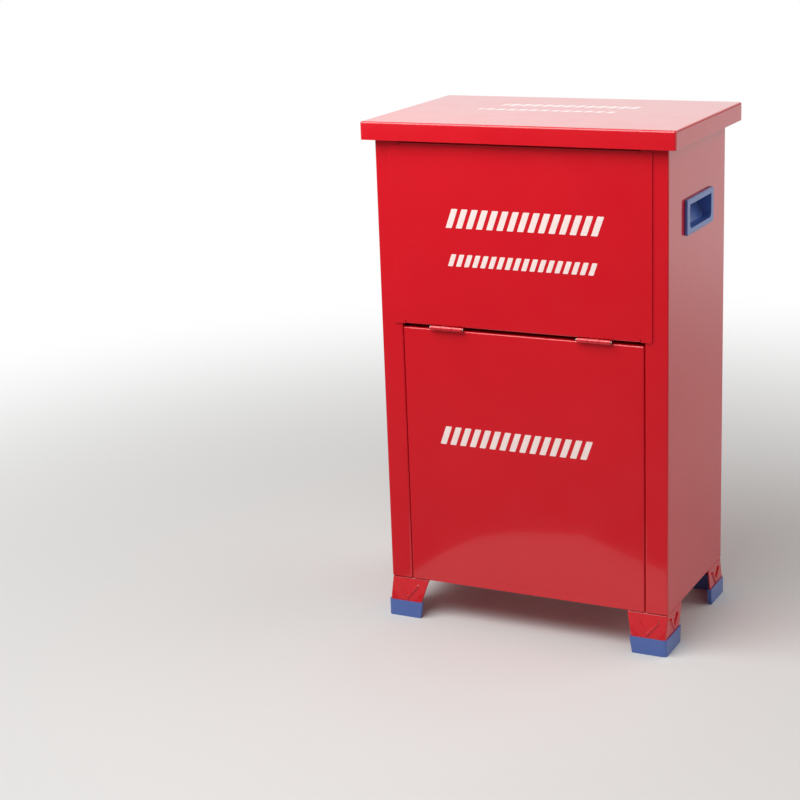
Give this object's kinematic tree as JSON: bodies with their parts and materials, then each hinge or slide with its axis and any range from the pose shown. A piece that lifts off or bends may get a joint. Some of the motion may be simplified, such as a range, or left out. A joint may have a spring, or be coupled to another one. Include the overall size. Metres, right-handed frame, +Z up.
{
  "type": "fire extinguisher cabinet",
  "caption": "Floor-standing red steel box for fire extinguishers, with a lift-up lid, a drop-down front flap, blue grip cups and pressed corner legs in blue foot caps.",
  "frame": {"origin": "on the floor, under the middle of the lid's box", "axes": "+X to the right seen from the front, +Y towards the back, +Z up"},
  "size_m": [0.374, 0.236, 0.6],
  "materials": {
    "red_paint": "gloss",
    "red_hinge": "gloss",
    "blue_plastic": "moulded satin",
    "zinc_pin": "zinc plated"
  },
  "bodies": {
    "cabinet": {"side_panel_left": "red_paint", "side_panel_right": "red_paint", "back_panel": "red_paint", "floor_panel": "red_paint", "lower_front_panel": "red_paint", "leg_front_left": "red_paint", "leg_front_right": "red_paint", "leg_rear_left": "red_paint", "leg_rear_right": "red_paint", "foot_cap_front_left": "blue_plastic", "foot_cap_front_right": "blue_plastic", "foot_cap_rear_left": "blue_plastic", "foot_cap_rear_right": "blue_plastic", "handle_cup_left": "blue_plastic", "handle_cup_right": "blue_plastic", "flap_hinge_lower_leaf_left": "red_hinge", "flap_hinge_lower_leaf_right": "red_hinge", "flap_hinge_pin_left": "zinc_pin", "flap_hinge_pin_right": "zinc_pin", "lid_hinge_body_leaf_left": "red_hinge", "lid_hinge_body_leaf_right": "red_hinge", "lid_hinge_pin_left": "zinc_pin", "lid_hinge_pin_right": "zinc_pin"},
    "flap": {"flap_panel": "red_paint", "flap_hinge_upper_leaf_left": "red_hinge", "flap_hinge_upper_leaf_right": "red_hinge"},
    "lid": {"lid_pan": "red_paint", "lid_hinge_lid_leaf_left": "red_hinge", "lid_hinge_lid_leaf_right": "red_hinge"}
  },
  "joints": [
    {"name": "flap_hinge", "type": "hinge", "parent": "cabinet", "child": "flap", "pos_m": [0, -0.1093, 0.3633], "axis": [1, 0, 0], "range_deg": [0, 175]},
    {"name": "lid_hinge", "type": "hinge", "parent": "cabinet", "child": "lid", "pos_m": [0, 0.0954, 0.574], "axis": [-1, 0, 0], "range_deg": [0, 100]}
  ]
}
